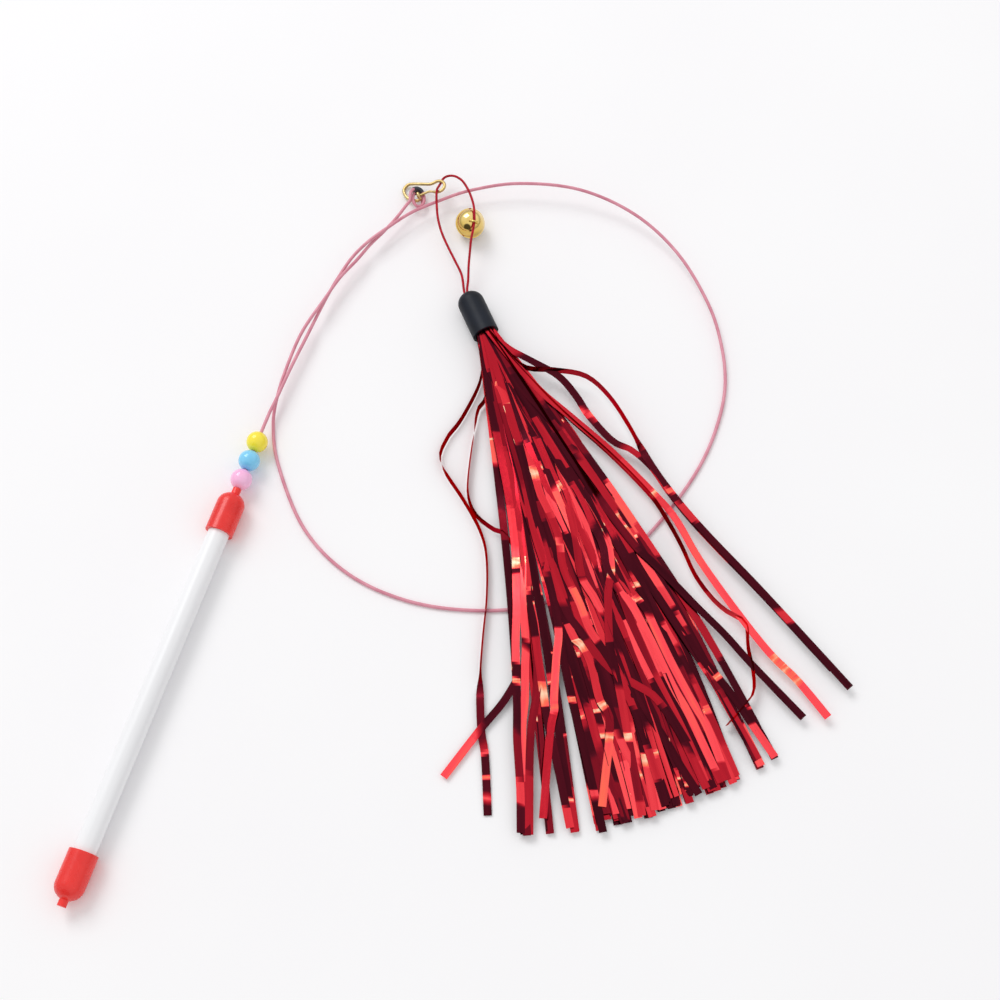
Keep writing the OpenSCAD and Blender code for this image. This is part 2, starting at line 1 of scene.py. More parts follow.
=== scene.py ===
"""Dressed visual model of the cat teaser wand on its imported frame.

The lead wire, cord loop, snap and foil strips are built here over their CAD solids, and the
other CAD nodes keep their shape and get finished materials.
"""

import json
import math
import random

import bpy
from mathutils import Matrix, Vector


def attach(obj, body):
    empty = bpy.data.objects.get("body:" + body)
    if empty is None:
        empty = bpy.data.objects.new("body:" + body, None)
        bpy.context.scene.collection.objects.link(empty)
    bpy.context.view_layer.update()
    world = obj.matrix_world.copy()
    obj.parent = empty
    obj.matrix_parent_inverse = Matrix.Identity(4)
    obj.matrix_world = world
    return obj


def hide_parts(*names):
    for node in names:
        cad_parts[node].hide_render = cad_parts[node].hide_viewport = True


MM = 0.001
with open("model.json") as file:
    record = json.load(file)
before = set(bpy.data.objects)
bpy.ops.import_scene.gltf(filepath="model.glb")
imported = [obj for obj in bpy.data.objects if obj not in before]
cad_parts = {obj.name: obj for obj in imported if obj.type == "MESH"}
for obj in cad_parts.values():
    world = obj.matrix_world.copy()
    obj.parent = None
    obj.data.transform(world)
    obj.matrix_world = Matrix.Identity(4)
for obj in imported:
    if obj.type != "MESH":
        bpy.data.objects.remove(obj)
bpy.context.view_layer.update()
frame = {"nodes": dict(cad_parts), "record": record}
nodes = frame["nodes"]

# Driving sizes of the CAD model, in millimetres
CAP_R = 6.45
GROUND_Z = -CAP_R
WIRE_D = 1.6
CORD_D = 1.2
SNAP_WIRE_D = 1.6
ARM_WIRE_D = 1.2
SHANK_END_Y = 214.3
TASSEL_TURN = math.radians(-50)
TASSEL_CAP_LEN = 24.5
TASSEL_R = 6.5
TIP_FROM_HANG = (32.6, -55.3)
KNOT_X, CORD_EXIT_X, CORD_LEG_Y = -19.4, -25.7, 0.75
HEAD_R = 4.65
STRIP_LEN = 243
STRIP_W = 3.5
STRIP_T = 0.24

# The photograph's camera, in metres, and its focal length
CAMERA_AT = (0.2034, -0.0725, 0.64105)
CAMERA_TILT, CAMERA_TURN = math.radians(24.37), math.radians(17.34)
SENSOR_WIDTH, LENS = 36, 55.33

# Steps between two points of a route, and round a quarter of a wire
ROUTE_STEPS = 8
SNAP_STEPS = 6
STRAY_STEPS = 6
TOP_STEPS = 4
WIRE_BEVEL_STEPS = 5

# Route of the free lead, from the end of its straight run, as in the CAD model
LEAD_ROUTE = [
    (0, 1, 0), (0.5, 10, 0), (1, 26, -0.2), (2.2, 46, -0.6), (3.4, 67, -1.2),
    (5.2, 80.5, -0.6), (8.2, 94, 0.2), (12.8, 104.3, 1), (18.3, 113.2, 1.3),
    (27.3, 127.1, 0.6), (37.9, 138.4, -0.3), (52, 149, 0.8), (74.4, 159.3, 2.2),
    (104.5, 164.5, 2.5), (134.5, 159.5, 0.9), (160.5, 145, -1.1), (182, 122.5, -2.9),
    (194, 102, -4.1), (201, 81.5, -5), (202.5, 60, -5.5), (200, 37.5, -5.6),
    (193, 13.5, -5.6), (182, -12, -5.6), (168.5, -32.5, -5.6), (147.5, -51.5, -5.6),
    (121, -62.5, -5.6), (91, -67, -5.6), (61, -62.5, -5.6), (34.5, -47.5, -5.6),
    (12, -21, -5.6), (2.6, -2.5, -4.8), (-0.2, 11, -2.3), (-1.2, 27, -1),
    (-0.6, 47, 0.2), (3.8, 67, 1.3), (6.6, 80.5, 1), (10.8, 93, 0.2),
    (14, 104.5, -0.8), (17.5, 113.6, -1.3), (21, 123, -1), (23.6, 132.2, -0.6),
]
# Route of the cord loop, measured from the snap's small eye
CORD_ROUTE = [
    (27, -45.9, -1.2), (21.3, -39, -1.1), (14.6, -31.3, -0.9), (9.5, -24.8, -0.6),
    (5.3, -17.6, -0.2), (2.6, -11, 0.5), (1.1, -6.8, 1.2), (0.2, -3.2, 1.6), (0, 0, 0),
    (-0.1, 3.4, -1.8), (0.3, 6.4, -1.7), (2.2, 7.9, -0.8), (5.2, 8, 0.5), (8.4, 6.6, 1.9),
    (11.8, 4.2, 2.9), (16.6, -1.2, 3.8), (21.4, -9.2, 6), (23.8, -15.1, 7),
    (25, -19, 6.25), (25.7, -23.5, 5.4), (26.3, -28.4, 4.4), (27.4, -33.8, 2.6),
    (29, -40.9, 0.8), (31, -48, -0.6),
]

# The eye at the lead's end, which winds clockwise from its left side
EYE_FROM_LEAD = Vector((27.4, 138.1, -2))
EYE_TURN = math.radians(20)
EYE_SLOPE = math.radians(25)
EYE_HALF, EYE_STRETCH, EYE_INSET, EYE_PITCH, EYE_DROP = 4.3, 1.9, 1.95, 0.9, 0.6
EYE_SWEEP = 540

# The snap, as shares of its length along the centre of its wire
SNAP_LEN = 22.6
SNAP_TURN = math.radians(8.5)
SNAP_SLOPE = math.radians(20)
SNAP_FROM_EYE = Vector((-9.4, 5, -3.45))
HANG_SHARE = (0.854, 0.018)
LATCH_SHARE = (0.416, -0.195)
LATCH_TURN = math.radians(23)
LATCH_R = 1.8
FRAME_SHARES = [
    (0.40, -0.29, -0.034), (0.33, -0.298, -0.029), (0.23, -0.276, -0.013), (0.13, -0.218, 0),
    (0.045, -0.115, 0), (0, 0, 0), (0.027, 0.09, 0), (0.1, 0.15, 0), (0.24, 0.15, 0),
    (0.44, 0.125, 0), (0.62, 0.105, 0), (0.70, 0.125, 0), (0.78, 0.163, 0), (0.875, 0.16, 0),
    (0.96, 0.103, 0), (0.995, 0.013, 0), (0.97, -0.075, 0), (0.895, -0.128, 0),
    (0.805, -0.128, 0), (0.748, -0.115, 0),
]
# The arm grows out of the frame's end, so its wire starts inside the frame's last stretch
ARM_ROOT_SHARE = (0.743, -0.114, 0)
ARM_SHARES = [
    (0.705, -0.107, 0), (0.64, -0.102, 0), (0.565, -0.125, 0), (0.49, -0.16, 0),
    (0.416, -0.195, 0), (0.37, -0.217, 0),
]


def smooth(route, steps):
    """Catmull-Rom curve through the points of a route, as the CAD model draws it."""
    route = [Vector(p) for p in route]
    last = len(route) - 1
    points = []
    for i in range(last):
        a, b = route[max(i - 1, 0)], route[i]
        c, d = route[i + 1], route[min(i + 2, last)]
        for j in range(steps):
            t = j / steps
            points.append(0.5 * (2 * b + (c - a) * t + (2 * a - 5 * b + 4 * c - d) * t * t
                                 + (3 * b - a - 3 * c + d) * t * t * t))
    return points + [route[last]]


def ease(t):
    """Runs smoothly from 0 to 1 as t does."""
    t = min(1, max(0, t))
    return t * t * (3 - 2 * t)


def mix(a, b, t):
    return a + (b - a) * t


def link(obj):
    bpy.context.scene.collection.objects.link(obj)
    return obj


# Camera

def make_camera():
    """Looks down at the photograph's angle from above the right of the handle."""
    data = bpy.data.cameras.new("camera")
    data.sensor_width = SENSOR_WIDTH
    data.lens = LENS
    data.clip_start = 0.01
    camera = link(bpy.data.objects.new("camera", data))
    camera.location = CAMERA_AT
    camera.rotation_euler = (CAMERA_TILT, 0, CAMERA_TURN)
    bpy.context.scene.camera = camera


make_camera()


# Wires and cords

def wire_curve(name, points_mm, diameter_mm, material):
    """A round wire as one smooth open spline through closely spaced points."""
    curve = bpy.data.curves.new(name, "CURVE")
    curve.dimensions = "3D"
    curve.bevel_depth = diameter_mm * MM / 2
    curve.bevel_resolution = WIRE_BEVEL_STEPS
    curve.use_fill_caps = True
    spline = curve.splines.new("POLY")
    spline.points.add(len(points_mm) - 1)
    for point, p in zip(spline.points, points_mm):
        point.co = (*(Vector(p) * MM), 1)
    curve.materials.append(material)
    return link(bpy.data.objects.new(name, curve))


lead_start = Vector((0, SHANK_END_Y, 0))
eye_at = lead_start + EYE_FROM_LEAD
eye_across = Vector((math.cos(EYE_TURN) * math.cos(EYE_SLOPE),
                     math.sin(EYE_TURN) * math.cos(EYE_SLOPE), -math.sin(EYE_SLOPE)))
eye_along = Vector((-math.sin(EYE_TURN), math.cos(EYE_TURN), 0))
eye_normal = eye_across.cross(eye_along)


def eye_point(degrees):
    """A point of the eye's wire, which winds a turn and a half and narrows as it goes."""
    a = math.radians(degrees)
    half = EYE_HALF - EYE_INSET * (1 - math.cos(a / 2)) / 2
    depth = EYE_PITCH * degrees / 360 - EYE_DROP * math.sin(a / 2)
    return (eye_at - half * math.cos(a) * eye_across
            + (half + EYE_STRETCH) * math.sin(a) * eye_along - depth * eye_normal)


def lead_points():
    """The free lead with the eye at its end."""
    turns = [eye_point(a) for a in range(0, EYE_SWEEP + 1, 10)]
    neck = turns[0] - WIRE_D * eye_along
    tail = turns[-1] + WIRE_D * (eye_point(EYE_SWEEP) - eye_point(EYE_SWEEP - 1)).normalized()
    free = smooth([lead_start + Vector(p) for p in LEAD_ROUTE]
                  + [neck - WIRE_D / 2 * eye_along], ROUTE_STEPS)
    return [lead_start] + free + [neck] + turns + [tail]


snap_at = eye_at + SNAP_FROM_EYE
snap_matrix = (Matrix.Translation(snap_at) @ Matrix.Rotation(SNAP_TURN, 4, "Z")
               @ Matrix.Rotation(-SNAP_SLOPE, 4, "Y"))
hang_at = snap_matrix @ (SNAP_LEN * Vector((*HANG_SHARE, 0)))
tip_at = Vector((hang_at.x + TIP_FROM_HANG[0], hang_at.y + TIP_FROM_HANG[1],
                 GROUND_Z + TASSEL_R))
tassel_ahead = Vector((math.cos(TASSEL_TURN), math.sin(TASSEL_TURN), 0))
tassel_left = Vector((-math.sin(TASSEL_TURN), math.cos(TASSEL_TURN), 0))
mouth_at = tip_at + TASSEL_CAP_LEN * tassel_ahead


def tassel_point(x, y, height):
    """x along the tassel from the cap's mouth, y to its left, height above the surface."""
    p = mouth_at + x * tassel_ahead + y * tassel_left
    return Vector((p.x, p.y, GROUND_Z + height))


def cord_points():
    """From the knot in the tassel's cap, round the loop and back to the knot."""
    def leg(side):
        return [tassel_point(x, side * CORD_LEG_Y, TASSEL_R)
                for x in (KNOT_X, KNOT_X - CORD_D, CORD_EXIT_X)]
    knot, *out = leg(-1)
    end, *back = leg(1)
    loop = [hang_at + Vector(p) for p in CORD_ROUTE]
    return [knot] + smooth(out + loop + back[::-1], ROUTE_STEPS) + [end]


# Materials

def srgb(code):
    """A linear colour from a hex code."""
    parts = [int(code[i:i + 2], 16) / 255 for i in (0, 2, 4)]
    return tuple(c / 12.92 if c <= 0.04045 else ((c + 0.055) / 1.055) ** 2.4 for c in parts) + (1,)


class Tree:
    """Short calls for building a node tree."""

    def __init__(self, tree):
        self.tree = tree

    def add(self, kind, inputs=None, **values):
        node = self.tree.nodes.new(kind)
        for key, value in values.items():
            setattr(node, key, value)
        for key, value in (inputs or {}).items():
            node.inputs[key].default_value = value
        return node

    def join(self, source, target):
        self.tree.links.new(source, target)

    def spread(self, value, low, high, start=0, end=1):
        """Maps a value from start..end to low..high."""
        node = self.add("ShaderNodeMapRange", {"From Min": start, "From Max": end,
                                               "To Min": low, "To Max": high})
        self.join(value, node.inputs["Value"])
        return node.outputs["Result"]

    def combine(self, operation, one, two):
        """One of the Math node's operations on two values."""
        node = self.add("ShaderNodeMath", operation=operation)
        self.join(one, node.inputs[0])
        self.join(two, node.inputs[1])
        return node.outputs[0]


class Nodes(Tree):
    """The node tree of one material, round its Principled shader."""

    def __init__(self, name):
        self.material = bpy.data.materials.new(name)
        self.material.use_nodes = True
        super().__init__(self.material.node_tree)
        self.shader = self.tree.nodes["Principled BSDF"]

    def set(self, **values):
        for key, value in values.items():
            self.shader.inputs[key.replace("_", " ")].default_value = value

    def coordinates(self, scale=(1, 1, 1), kind="Object"):
        where = self.add("ShaderNodeTexCoord")
        mapping = self.add("ShaderNodeMapping", {"Scale": scale})
        self.join(where.outputs[kind], mapping.inputs["Vector"])
        return mapping.outputs["Vector"]

    def noise(self, vector, scale, detail=3, roughness=0.5, distortion=0):
        node = self.add("ShaderNodeTexNoise", {"Scale": scale, "Detail": detail,
                                               "Roughness": roughness, "Distortion": distortion})
        self.join(vector, node.inputs["Vector"])
        return node.outputs["Fac"]

    def ramp(self, value, stops):
        node = self.add("ShaderNodeValToRGB")
        ramp = node.color_ramp
        while len(ramp.elements) < len(stops):
            ramp.elements.new(0.5)
        for element, (place, colour) in zip(ramp.elements, stops):
            element.position = place
            element.color = colour
        self.join(value, node.inputs["Fac"])
        return node.outputs["Color"]

    def bump(self, height, strength, distance):
        node = self.add("ShaderNodeBump", {"Strength": strength, "Distance": distance})
        self.join(height, node.inputs["Height"])
        self.join(node.outputs["Normal"], self.shader.inputs["Normal"])

    def colour(self, value):
        self.join(value, self.shader.inputs["Base Color"])

    def roughness(self, value):
        self.join(value, self.shader.inputs["Roughness"])


def mottled(name, dark, light, scale, rough, bump=0.15, **values):
    """A moulded surface with faint colour and gloss changes and a fine grain."""
    n = Nodes(name)
    where = n.coordinates()
    n.colour(n.ramp(n.noise(where, scale), [(0.3, dark), (0.7, light)]))
    n.roughness(n.spread(n.noise(where, scale * 3, 4), *rough))
    n.bump(n.noise(where, scale * 12, 4, 0.6), bump, 0.00005)
    n.set(**values)
    return n.material


def tube_material():
    """Drawn white plastic, whose changes run along the tube."""
    n = Nodes("tube_white_plastic")
    where = n.coordinates((1, 0.03, 1))
    n.colour(n.ramp(n.noise(where, 300), [(0.3, srgb("f0f0f2")), (0.7, srgb("f7f7f9"))]))
    n.roughness(n.spread(n.noise(where, 900, 4), 0.28, 0.4))
    n.bump(n.noise(where, 1400, 3), 0.12, 0.00004)
    n.set(IOR=1.49)
    return n.material


def wire_material():
    """Satin plastic coat with the lay of the wire rope showing faintly through it."""
    n = Nodes("wire_pink_coat")
    where = n.coordinates()
    n.colour(n.ramp(n.noise(where, 140), [(0.3, srgb("cf7c90")), (0.75, srgb("e39aaa"))]))
    n.roughness(n.spread(n.noise(where, 700, 4), 0.3, 0.5))
    n.bump(n.noise(where, 1500, 4, 0.6), 0.25, 0.00006)
    n.set(Coat_Weight=0.15, Coat_Roughness=0.25)
    return n.material


def cord_material():
    """Waxed red cord with a fine woven grain."""
    n = Nodes("cord_red_wax")
    where = n.coordinates()
    n.colour(n.ramp(n.noise(where, 500), [(0.3, srgb("960c1e")), (0.75, srgb("c41a30"))]))
    n.roughness(n.spread(n.noise(where, 1200, 4), 0.42, 0.62))
    n.bump(n.noise(where, 3200, 3, 0.6), 0.5, 0.00008)
    n.set(Specular_IOR_Level=0.15)
    return n.material


def metal(name, dark, light, rough, scale=160, bump=0.1):
    """Metal with faint stains and a fine grain."""
    n = Nodes(name)
    where = n.coordinates()
    n.colour(n.ramp(n.noise(where, scale), [(0.3, dark), (0.7, light)]))
    n.roughness(n.spread(n.noise(where, scale * 5, 4), *rough))
    n.bump(n.noise(where, scale * 14, 3, 0.6), bump, 0.00003)
    n.set(Metallic=1)
    return n.material


def foil_material():
    """Metallised film. Each strip carries tones that are painted reflections and painted glints,
    and fine painted reflection streaks run along it.
    """
    n = Nodes("foil_red_film")
    # The tone attribute paints the film's reflections: dark maroon where it would mirror dark
    # surroundings, coral where it would mirror white, and peach-white painted glints of the lamp
    tone = n.add("ShaderNodeAttribute", attribute_name="tone")
    where = n.coordinates(kind="UV")
    # Painted reflection streaks along each strip shift its tone up and down
    painted_reflection_streaks = n.spread(n.noise(n.coordinates((5, 0.35, 1), "UV"), 1, 3), -0.09, 0.09)
    n.colour(n.ramp(n.combine("ADD", tone.outputs["Fac"], painted_reflection_streaks), [
        (0.0, srgb("3c0f19")), (0.15, srgb("571320")), (0.3, srgb("861624")),
        (0.5, srgb("b5202e")), (0.66, srgb("e03640")), (0.8, srgb("ff5058")),
        (0.9, srgb("ff7456")), (1.0, srgb("ffd2b0"))]))
    n.roughness(n.spread(n.noise(where, 6, 3), 0.14, 0.28))
    n.bump(n.noise(where, 1.6, 2, 0.5, 0.3), 0.3, 0.00012)
    n.set(Metallic=1, Specular_Tint=srgb("e0505a"))
    return n.material


MATERIALS = {
    "tube_white": tube_material(),
    "cap_red": mottled("cap_red_vinyl", srgb("e8231f"), srgb("f8322c"), 90, (0.2, 0.34),
                       Specular_IOR_Level=0.5, Subsurface_Weight=0.05),
    "plug_grey": mottled("plug_grey_plastic", srgb("b4b4b0"), srgb("cdcdc9"), 120, (0.5, 0.7)),
    "stop_steel": metal("stop_crimped_steel", srgb("8d8f92"), srgb("b5b7ba"), (0.3, 0.5)),
    "wire_pink": wire_material(),
    "ferrule_dark": metal("ferrule_dark_metal", srgb("3c3c42"), srgb("63636b"), (0.25, 0.42)),
    "bead_pink": mottled("bead_pink_gloss", srgb("ffb8e2"), srgb("ffcdee"), 80, (0.12, 0.22),
                         0.06, Coat_Weight=0.4, Coat_Roughness=0.08),
    "bead_blue": mottled("bead_blue_gloss", srgb("74caf4"), srgb("90dcff"), 80, (0.12, 0.22),
                         0.06, Coat_Weight=0.4, Coat_Roughness=0.08),
    "bead_yellow": mottled("bead_yellow_gloss", srgb("ffe01c"), srgb("ffec3c"), 80,
                           (0.12, 0.22), 0.06, Coat_Weight=0.4, Coat_Roughness=0.08),
    "snap_brass": metal("snap_pale_brass", srgb("c0a468"), srgb("dcc58e"), (0.3, 0.42), 160, 0.03),
    "cap_black": mottled("cap_black_vinyl", srgb("080d17"), srgb("101826"), 90, (0.4, 0.55),
                         Specular_IOR_Level=0.25),
    "cord_red": cord_material(),
    "band_steel": metal("band_plain_steel", srgb("9a9c9f"), srgb("bfc1c4"), (0.3, 0.5)),
    "tinsel_red": foil_material(),
    "bell_gold": metal("bell_gold_plate", srgb("dcb95c"), srgb("f8e2a0"), (0.07, 0.15), 90, 0.04),
    "pellet_steel": metal("pellet_plain_steel", srgb("77797c"), srgb("9b9da0"), (0.3, 0.5)),
}


def dress_nodes():
    """Gives each CAD node the finished material of its slot."""
    for row in frame["record"]["subparts"]:
        node = nodes[row["node"]]
        node.data.materials.clear()
        node.data.materials.append(MATERIALS[row["material_slot"]])


dress_nodes()

lead_path = lead_points()
lead = wire_curve("lead_with_eye", lead_path, WIRE_D, MATERIALS["wire_pink"])
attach(lead, "handle")
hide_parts("lead_wire", "wire_eye")

cord_path = cord_points()
cord = wire_curve("hanging_cord", cord_path, CORD_D, MATERIALS["cord_red"])
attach(cord, "tassel")
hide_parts("cord_loop")


# Snap

def snap_points(shares):
    return [snap_matrix @ (SNAP_LEN * p) for p in smooth(shares, SNAP_STEPS)]


def catch_shares():
    """The wire's end curls up round the outside of the arm."""
    at = Vector((*LATCH_SHARE, 0))
    out = Vector((math.sin(LATCH_TURN), -math.cos(LATCH_TURN), 0))
    rows = []
    for degrees in (100, 70, 40, 10, -20):
        b = math.radians(degrees)
        rows.append(at + LATCH_R / SNAP_LEN * (math.cos(b) * out + Vector((0, 0, math.sin(b)))))
    return rows


snap = wire_curve("snap_wire", snap_points(catch_shares() + FRAME_SHARES), SNAP_WIRE_D,
                  MATERIALS["snap_brass"])
# The frame's last stretch thins down to the arm that grows out of it
for k, point in enumerate(snap.data.splines[0].points[-SNAP_STEPS - 1:]):
    point.radius = mix(1, ARM_WIRE_D / SNAP_WIRE_D, k / SNAP_STEPS)
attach(snap, "snap")
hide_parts("snap_frame")
arm = wire_curve("snap_arm_wire", snap_points([ARM_ROOT_SHARE] + ARM_SHARES), ARM_WIRE_D,
                 MATERIALS["snap_brass"])
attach(arm, "arm")
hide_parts("snap_arm")


# Foil strips, with sizes of the CAD model first: x runs along the tassel from its cap's mouth

LEVELS = 10
MOUTH_PITCH = 0.95
LEVEL_PITCH = 1.5 * STRIP_T
STRAY_GAP = 0.35
RIDE_H = WIRE_D + 0.5
RIDE_FROM, RIDE_TO = 60, 150
MOUTH_WIDTH = 0.33
START_X = -8
FANS = 6
FAN_LEFT = (-80, -70, -61, -53, -46, -40)
FAN_RIGHT = (15, 20, 24, 28, 33, 38)
FAN_BOW = (22, 20, 18, 16, 14, 12)
LEFT_BOW = 4
STRIPS_IN_FAN = 8
LENGTH_SPREAD = 6

# Sizes of the visual model alone
EXTRA_IN_FAN = 5
EXTRA_LEFT, EXTRA_RIGHT = -44, 12
BOW_SHARE = 0.6
WANDER_WAVES = 2.6
LINE_POINTS = 40
STATION_STEP = 3.6
ROLL, TWIST, LIFT = math.radians(8), math.radians(20), 0.16
LEAST_H = 0.1
# A strip is narrower and calmer near the mouth, and opens over this stretch
OPEN_FROM, OPEN_LEN = 8, 40
MOUTH_W_SHARE, MOUTH_ROLL_SHARE = 0.85, 0.8
# The film's UV coordinates are in centimetres
CM, HALF_W_CM = 0.1, 0.175
# A stray on its edge leans past upright, then short of it, and then falls onto its flat
LEANS, LEAN_LEN = (106, 74), 12
FALL_AHEAD, FALL_LEN = 6, 14


def strip_height(level, x):
    """Height of a strip above the surface, as in the CAD model."""
    mouth = TASSEL_R + (level - (LEVELS - 1) / 2) * MOUTH_PITCH
    lift = level * LEVEL_PITCH + STRAY_GAP * (0 if level < 2 else 1 if level < LEVELS - 2 else 2)
    return mix(mix(mouth, RIDE_H + lift, ease(x / RIDE_FROM)), STRIP_T + lift,
               ease((x - RIDE_TO) / (STRIP_LEN - RIDE_TO)))


def scatter(i, k):
    """The CAD model's even scatter from 0 to 1, for the lengths of its strips."""
    v = abs(math.sin(math.radians(127.1 * i + 311.7 * k + 74.7))) * 43.758
    return v - math.floor(v)


def mouth_half(level):
    """How far from the middle of the mouth a strip of this level may start."""
    h = abs((level - (LEVELS - 1) / 2) * MOUTH_PITCH) + STRIP_T
    return math.sqrt(max(HEAD_R ** 2 - h ** 2, 0)) - STRIP_W * MOUTH_WIDTH / 2


def wave(rng, length, spread, low, high):
    """A smooth random curve along a strip, whose turns are low to high apart."""
    knots = [0]
    while knots[-1] < length:
        knots.append(knots[-1] + rng.uniform(low, high))
    values = [rng.gauss(0, spread) for _ in knots]

    def value(x):
        k = max(i for i in range(len(knots) - 1) if knots[i] <= x or i == 0)
        return mix(values[k], values[k + 1], ease((x - knots[k]) / (knots[k + 1] - knots[k])))
    return value


# Tones of the foil's painted reflections: DARK paints mirrored dark surroundings, BRIGHT paints
# mirrored white, and GLINT is a painted highlight of the lamp
DARK, DEEP, MID, WARM, BRIGHT, GLINT = 0.04, 0.26, 0.48, 0.64, 0.8, 1
PAINTED_REFLECTION_TONES = (DARK, DEEP, MID, WARM, BRIGHT)
PAINTED_REFLECTION_WEIGHTS = (46, 18, 19, 5, 12)
GLINTS_FROM = 0.88
RUN_LOW, RUN_HIGH = math.log(12), math.log(75)
PLAIN_LEN = 20
TONE_SPREAD = 0.04
GLINT_CHANCE, GLINT_RUN, LEAST_GLINT = 0.1, (1, 2.4), 0.9
CREASE_CHANCE, CREASE_REACH, CREASE_SHIFT = 0.6, 4, 2.5
CREASE_RISE, CREASE_RUN = (2, 5), (1.2, 3.2)
# Changes of tone slant across a strip by about this much, and are soft over these lengths
SLANT, SOFTS = 1.3, (0.2, 0.6, 1.6)
GLINT_SLANT_SHARE, GLINT_SOFT = 0.5, 0.25
# How far a glint fades away from its middle, on the strip's two edges
FADES = {-1: 0.1, 1: 0.2}

# Places in the tassel's frame where a painted glint runs across several strips, standing for a
# crease that catches the light
CREASES = [
    (41, -9), (59, 27), (74, -6), (89, -10), (107, 40), (112, 10), (114, -33), (121, 20),
    (126, -24), (131, 9), (131, -33), (144, 11), (152, -16), (158, -49), (161, -22), (170, -42),
    (182, -47), (189, -30), (201, -27), (209, 16), (218, -14), (229, -19), (232, -6),
]


def random_painted_reflections(rng, line):
    """Stretches of even painted reflection, as (x, tone) pairs, some with a painted glint between
    them.
    """
    tones, x = [], 0
    while x < STRIP_LEN:
        run = math.exp(rng.uniform(RUN_LOW, RUN_HIGH))
        tone = rng.choices(PAINTED_REFLECTION_TONES, PAINTED_REFLECTION_WEIGHTS)[0]
        if x < PLAIN_LEN:
            tone = rng.choice((MID, MID, WARM))
        x += run
        tones.append((x, tone + rng.uniform(-TONE_SPREAD, TONE_SPREAD)))
        if rng.random() < GLINT_CHANCE:
            x += rng.uniform(*GLINT_RUN)
            tones.append((x, rng.uniform(LEAST_GLINT, GLINT)))
    for cx, cy in CREASES:
        near = min(line, key=lambda q: abs(q[0] - cx))
        if abs(near[1] - cy) < CREASE_REACH and rng.random() < CREASE_CHANCE:
            start = cx + rng.uniform(-CREASE_SHIFT, CREASE_SHIFT)
            tones = add_tone(tones, start - rng.uniform(*CREASE_RISE), start, WARM)
            tones = add_tone(tones, start, start + rng.uniform(*CREASE_RUN), GLINT)
    return tones


def add_tone(tones, start, end, tone):
    """Sets the tone of one stretch and keeps the rest."""
    def old_tone(x):
        return next((v for limit, v in tones if x <= limit), tones[-1][1])
    limits = sorted({limit for limit, _ in tones if not start <= limit <= end} | {start, end})
    rows, last = [], None
    for limit in limits:
        middle = limit if last is None else (last + limit) / 2
        rows.append((limit, tone if limit == end else old_tone(middle)))
        last = limit
    return rows


def soft_edges(rng, tones):
    """The tones along each of a strip's two edges, as rows of (place, tone, softness).

    The changes slant across the strip, and those of a glint are sharper than the rest.
    """
    slant_at = wave(rng, STRIP_LEN + 40, SLANT, 15, 50)
    edges = {-1: [], 1: []}
    for k, (limit, tone) in enumerate(tones):
        glint = max(tone, tones[min(k + 1, len(tones) - 1)][1]) > GLINTS_FROM
        soft = GLINT_SOFT if glint else rng.choice(SOFTS)
        share = GLINT_SLANT_SHARE if glint else 1
        for side, rows in edges.items():
            rows.append((limit + side * slant_at(limit) * share, tone, soft))
    return edges


def tone_and_margin(rows, x):
    """The tone at x, and how far x is from the middle of a glint, from 0 to 1."""
    start = 0
    for k, (limit, tone, soft) in enumerate(rows):
        if x <= limit + soft or k == len(rows) - 1:
            after = rows[min(k + 1, len(rows) - 1)][1]
            share = min(1, max(0, (x - limit + soft) / (2 * soft)))
            off = 0
            if tone > GLINTS_FROM:
                off = abs(2 * (x - start) / max(limit - start, 0.1) - 1)
            return mix(tone, after, share), min(off, 1) * (1 - share)
        start = limit


class Line:
    """A line through points (x, y) of the tassel's frame, by the distance s along it."""

    def __init__(self, points):
        self.points = [Vector((*p, 0)) for p in points]
        self.runs = [0]
        for p, q in zip(self.points, self.points[1:]):
            self.runs.append(self.runs[-1] + (q - p).length)
        self.length = self.runs[-1]

    def at(self, s):
        """The point at s, and the direction there."""
        points, runs = self.points, self.runs
        k = max(i for i in range(len(runs) - 1) if runs[i] <= s or i == 0)
        p = points[k].lerp(points[k + 1], (s - runs[k]) / max(runs[k + 1] - runs[k], 1e-6))
        before, after = points[max(k - 1, 0)], points[min(k + 2, len(points) - 1)]
        d = (points[k + 1] - points[k]).normalized()
        return p, d.lerp((after - before).normalized(), 0.5).normalized()

    def reach(self, x):
        """The distance at which the line first comes to x, or None."""
        for i in range(len(self.points) - 1):
            a, b = self.points[i].x, self.points[i + 1].x
            if a <= x <= b:
                return mix(self.runs[i], self.runs[i + 1], (x - a) / max(b - a, 1e-6))
        return None

    def stations(self, tones, edges):
        """Distances at even steps, at each change of tone and in the middle of each glint."""
        steps = math.ceil(self.length / STATION_STEP)
        found = {self.length * i / steps for i in range(steps + 1)}
        for rows in edges.values():
            for place, _, soft in rows:
                for s in (self.reach(place - soft), self.reach(place + soft)):
                    if s is not None and 0.5 < s < self.length - 0.5:
                        found.add(s)
        for (before, _), (limit, tone) in zip(tones, tones[1:]):
            middle = self.reach((before + limit) / 2)
            if tone > GLINTS_FROM and middle is not None:
                found.add(middle)
        return sorted(found)


